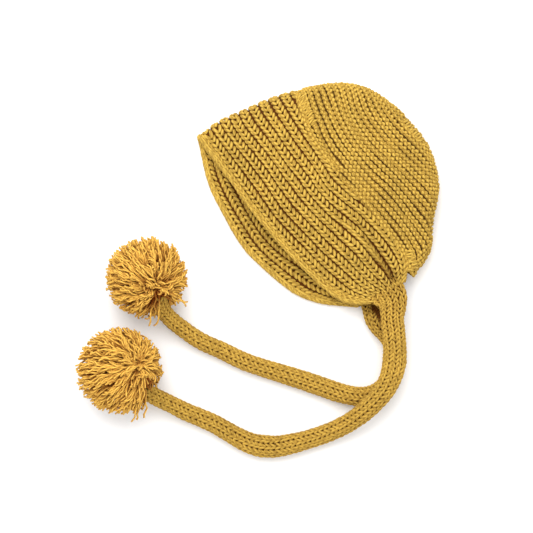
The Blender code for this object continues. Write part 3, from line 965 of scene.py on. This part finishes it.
def pompom(yarn, centre, radius, hub, count, seed, stray_way, tie_way):
    """Cut strands from a tied hub to a flattened ball, clear of the tie on its side.

    Centre, radius and hub are in mm. stray_way holds the directions of stray strands.
    """
    pick = np.random.default_rng(seed)
    centre, hub, radius = np.array(centre) * MM, np.array(hub) * MM, radius * MM
    stray = len(stray_way)
    i = np.arange(count)
    cosine = 1 - 2 * (i + 0.5) / count
    spin = i * math.pi * (3 - math.sqrt(5))
    sine = np.sqrt(1 - cosine**2)
    facing = np.stack([sine * np.cos(spin), sine * np.sin(spin), cosine], -1)
    facing = unit(facing + pick.normal(0, 0.10, (count, 3)))
    reach = radius * pick.uniform(0.88, 1.03, count)
    clumps = unit(pick.normal(0, 1, (CLUMPS, 3)))
    nearest = (facing @ clumps.T).argmax(1)
    facing = unit(facing + CLUMP_PULL * (clumps[nearest] - facing))
    facing[:stray], reach[:stray] = unit(stray_way), radius * STRAY_REACH
    end = centre + facing * reach[:, None] * POMPOM_FLAT
    start = hub + pick.normal(0, 1.6 * MM, (count, 3))
    away = unit(end - centre)
    spread = np.linalg.norm(end - start, axis=1)
    bulge = (start + end) / 2 + away * (0.30 * spread)[:, None]
    sweep = pick.normal(0, 2.6 * MM, (len(clumps), 3))[nearest]
    bulge += sweep + pick.normal(0, 1.3 * MM, (count, 3))
    q = np.linspace(0, 1, STRAND_SAMPLES)[None]
    t = q[..., None]
    line = (1 - t) ** 2 * start[:, None] + 2 * t * (1 - t) * bulge[:, None] + t**2 * end[:, None]
    along = unit(np.gradient(line, axis=1))
    across = unit(np.cross(along, away[:, None]))
    lift = np.cross(across, along)

    # the strands' crimp
    phase, phase2 = pick.uniform(0, TURN, (2, count, 1))
    turns = spread[:, None] / (19 * MM) * pick.uniform(0.8, 1.3, (count, 1))
    amp = MM * pick.uniform(0.3, 1.3, (count, 1)) * smooth(q * 3)
    line = (line + across * (amp * np.sin(TURN * turns * q + phase))[..., None]
            + lift * (0.8 * amp * np.sin(TURN * turns * q + phase2))[..., None])
    line[..., 2] = np.maximum(line[..., 2], 1.1 * MM)
    thick = MM * pick.uniform(0.68, 0.86, (count, 1)) * (1 - 0.18 * (1 - q) ** 3)
    # painted shade: strands darken the deeper they lie inside the ball
    off = (line - centre) / (radius * POMPOM_FLAT)
    depth = (np.linalg.norm(off, axis=-1) - 1) * radius
    clear = ((facing @ unit(np.array(tie_way)) < 0.87) | (np.arange(count) < stray)
             | (line[:, -1, 2] < centre[2] - 8 * MM))
    yarn.add(line[clear], lift[clear], thick[clear], depth[clear], sides=6)


pompoms = {"left": Yarn(), "right": Yarn()}
pompom(pompoms["left"], centre=(0.8, -242.6, 31), radius=37.6, hub=(7, -228, 47),
       count=1450, seed=21, stray_way=[(1, -0.25, 0.0), (1, -0.42, -0.1), (1, -0.52, 0.1)],
       tie_way=(0.93, 0.25, 0.1))
pompom(pompoms["right"], centre=(-45, -172, 28.6), radius=35.2, hub=(-34, -169.5, 42),
       count=1350, seed=22, tie_way=(0.85, -0.22, 0.35),
       stray_way=[(1, 0.34, 0.2), (1, 0.25, 0.1), (1, -0.62, 0.0), (1, -0.75, 0.1)])

# ---------------------------------------------------------------- pieces
band_pieces = [yarn.build(name, knit) for name, yarn in band_yarns.items()]
band_shade_sheet = band_base.build("band_shade_sheet", knit)
crown_pieces = [yarn.build(name, knit) for name, yarn in crown_yarns.items()]
crown_shade_sheet = crown_base.build("crown_shade_sheet", knit)
for piece in (*band_pieces, *crown_pieces, band_shade_sheet, crown_shade_sheet):
    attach(piece, "hat")
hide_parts("ribbed_band")
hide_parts("crown_panel", "crown_seam_yarn")


for side, made in TIES.items():
    root, tie_piece, end = (yarn.build("tie_" + name + "_" + side, tie_knit)
                            for name, yarn in made["yarns"].items())
    ball = pompoms[side].build("pompom_strands_" + side, strand)
    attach(root, "hat")
    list(made["bend"])
    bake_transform(tie_piece)
    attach(end, side + "_pompom")
    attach(ball, side + "_pompom")
    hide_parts("tie_cuff_" + side, "root_yarn_" + side)
    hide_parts("tie_" + side)
    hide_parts("pompom_" + side, "pompom_binding_" + side,
                "pompom_anchor_" + side)
    route, (start, stop) = made["tie"].route, made["span"]
    path = route.at(np.linspace(start, stop, 120))
    tuple(path[0])

# ---------------------------------------------------------------- floor, light, camera
FLOOR_SIDE = 6.0
FLOOR_HEIGHT = -0.0008
LAMP_PLACE, LAMP_TARGET = (-0.75, 0.30, 1.5), (0.02, -0.05, 0.0)
EYE = (0.0164, -0.0873, 2.596)  # above the object, looking straight down
EYE_TURN = math.radians(48.85)  # how far round the photo was taken


def place_in_scene(name, data, location=(0, 0, 0), rotation=(0, 0, 0)):
    obj = bpy.data.objects.new(name, data)
    obj.location, obj.rotation_euler = location, rotation
    bpy.context.scene.collection.objects.link(obj)
    return obj


paper = bpy.data.materials.new("floor_white")
paper_shader = NodeTree(paper).shader
paper_shader.inputs["Base Color"].default_value = (0.93, 0.93, 0.93, 1)
paper_shader.inputs["Roughness"].default_value = 0.9
floor_mesh = bpy.data.meshes.new("floor")
floor_mesh.from_pydata([(x * FLOOR_SIDE / 2, y * FLOOR_SIDE / 2, FLOOR_HEIGHT)
                        for x, y in ((-1, -1), (1, -1), (1, 1), (-1, 1))],
                       [], [(0, 1, 2, 3)])
floor_mesh.materials.append(paper)
place_in_scene("floor", floor_mesh)

world = bpy.data.worlds.new("studio")
world.use_nodes = True
world.node_tree.nodes["Background"].inputs["Color"].default_value = (1, 1, 1, 1)
world.node_tree.nodes["Background"].inputs["Strength"].default_value = 1.12
bpy.context.scene.world = world

lamp = bpy.data.lights.new("softbox", "AREA")
lamp.shape = "DISK"
lamp.size = 1.5
lamp.energy = 24
lamp_way = Vector(LAMP_TARGET) - Vector(LAMP_PLACE)
place_in_scene("softbox", lamp, LAMP_PLACE, lamp_way.to_track_quat("-Z", "Y").to_euler())

camera = bpy.data.cameras.new("camera")
camera.lens = 200
camera.sensor_width = 36
bpy.context.scene.camera = place_in_scene("camera", camera, EYE, (0, 0, EYE_TURN))
bpy.context.scene.view_settings.view_transform = "Standard"
